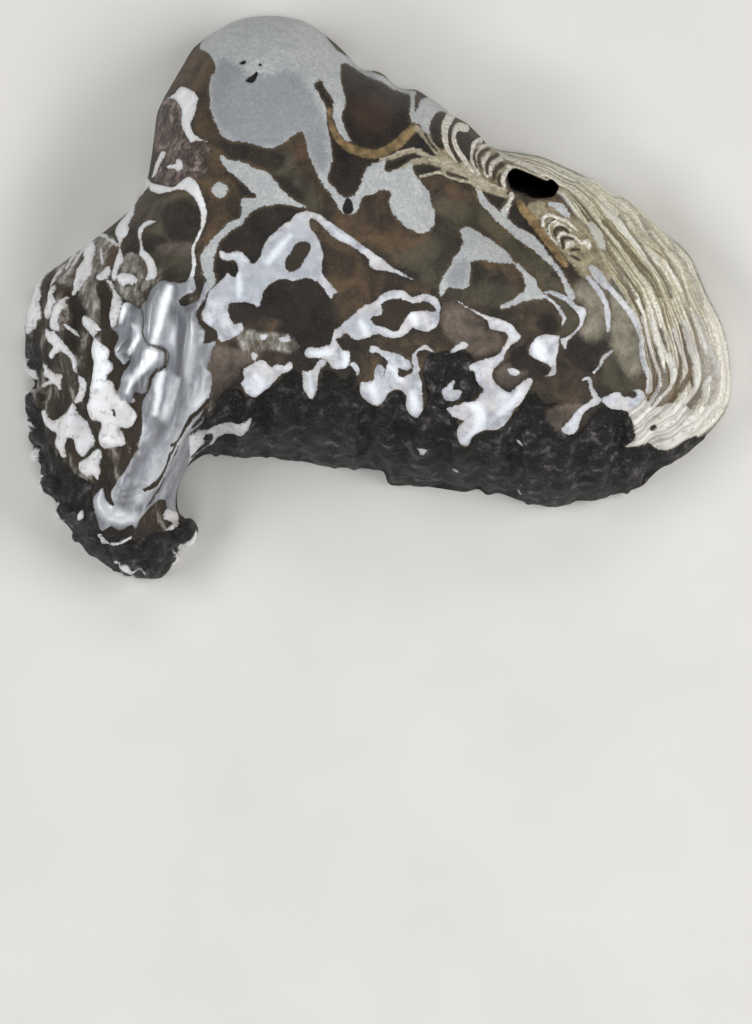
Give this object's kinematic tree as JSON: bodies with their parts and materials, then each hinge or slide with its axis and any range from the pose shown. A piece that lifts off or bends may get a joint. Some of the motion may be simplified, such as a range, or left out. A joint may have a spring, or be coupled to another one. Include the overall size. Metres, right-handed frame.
{
  "type": "mussel shell",
  "caption": "Left valve of an old river mussel, thick, arched and eroded, with a hollow inside, a worn hole, growth ledges at the rear and a narrow front lobe.",
  "frame": {"origin": "middle of the valve's box, on the plane of its rim", "axes": "+X to the rear end of the mussel, +Y to the hinge side, +Z out of the back of the arch"},
  "size_m": [0.12, 0.096, 0.0289],
  "materials": {
    "shell": "worn, partly polished nacre under a dull brown skin"
  },
  "bodies": {
    "root": {"left_valve": "shell"}
  },
  "joints": []
}
